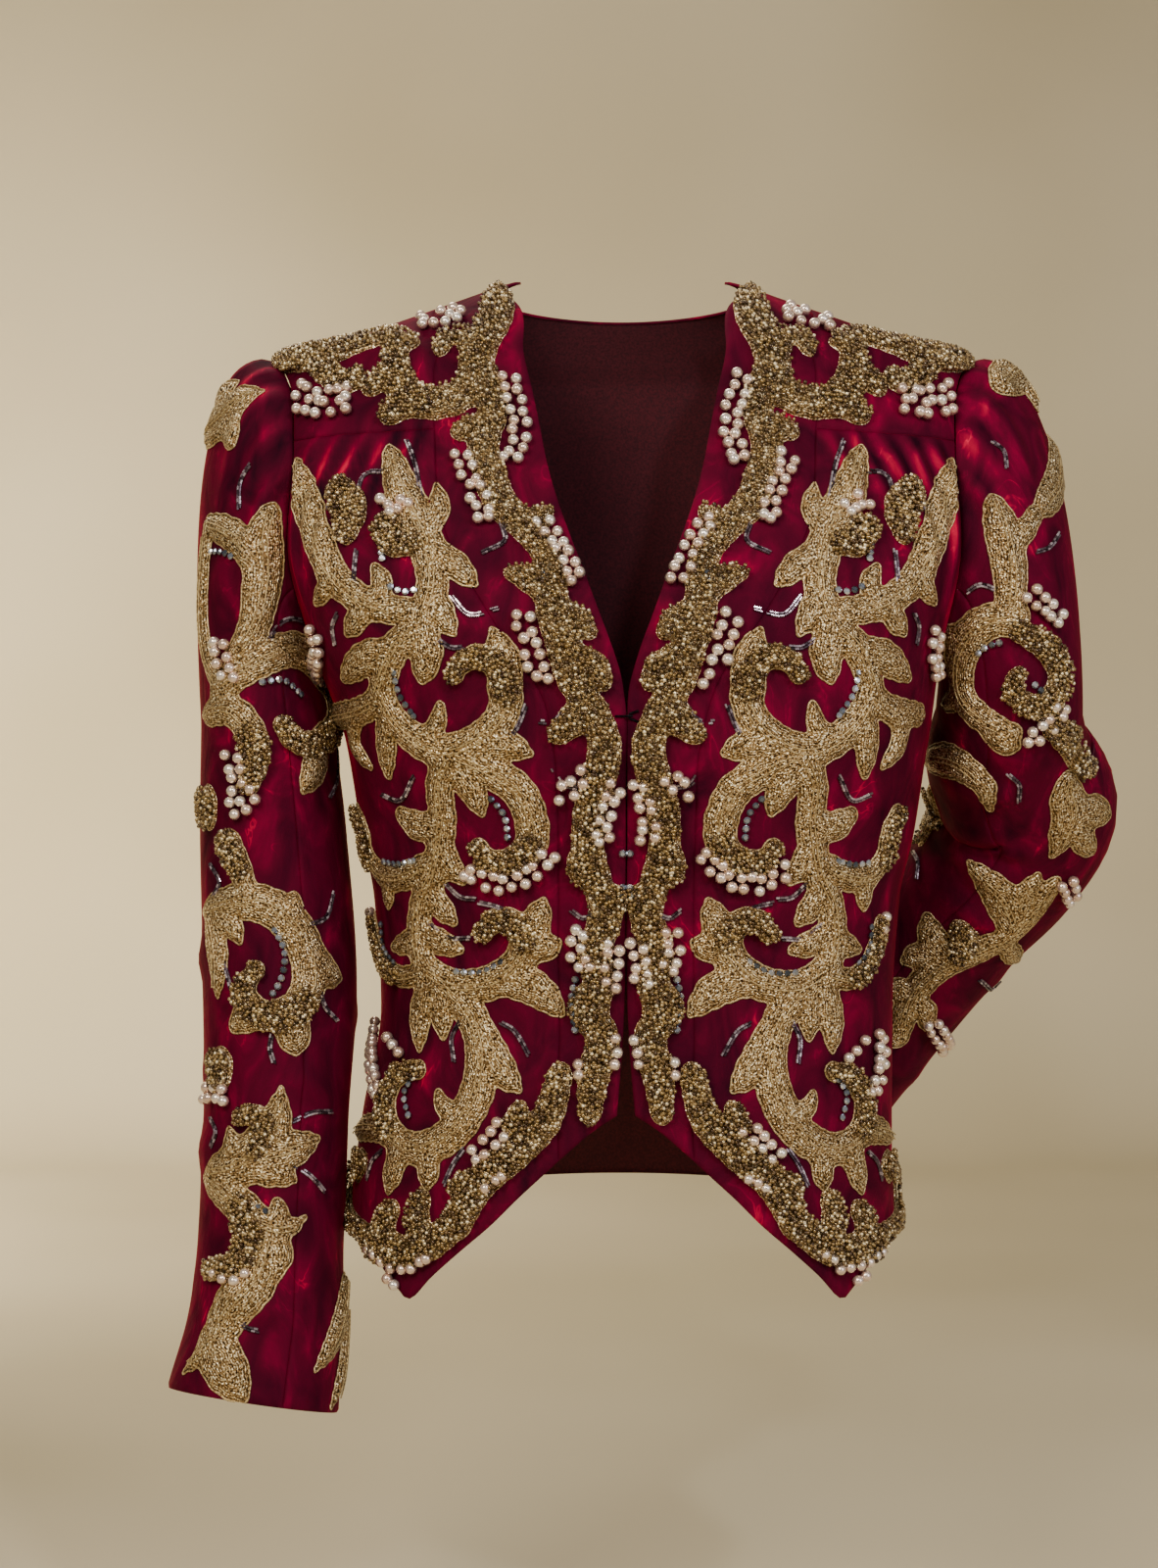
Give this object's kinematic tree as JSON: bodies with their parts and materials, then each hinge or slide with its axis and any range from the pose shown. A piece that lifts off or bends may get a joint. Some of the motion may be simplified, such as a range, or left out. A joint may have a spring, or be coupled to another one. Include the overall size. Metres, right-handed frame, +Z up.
{
  "type": "embroidered velvet jacket",
  "caption": "Worn crimson velvet jacket with a V neck, pointed front hems, gold leaf-scroll applique, pearls and beaded borders.",
  "frame": {"origin": "middle of the neck opening, level with the neck points, where the wearer's shoulders carry the jacket", "axes": "+Z up along the wearer, +X to the wearer's left, +Y to the wearer's back"},
  "size_m": [0.5599, 0.3079, 0.6636],
  "materials": {
    "velvet": "soft velvet pile",
    "gold_applique": "metallic thread",
    "gold_cord": "twisted metallic cord",
    "gold_beads": "small gold-lined glass beads",
    "pearl": "pearl lustre",
    "stone": "cut glass",
    "bugle_beads": "grey lilac glass",
    "lining": "plain cloth inside",
    "black_steel": "black"
  },
  "bodies": {
    "root": {"back": "velvet", "front_right": "velvet", "front_left": "velvet", "band_right": "velvet", "band_left": "velvet", "yoke_right": "velvet", "yoke_left": "velvet", "sleeve_top_right": "velvet", "sleeve_under_right": "velvet", "sleeve_top_left": "velvet", "sleeve_under_left": "velvet", "hook": "black_steel", "eye": "black_steel"}
  },
  "joints": []
}
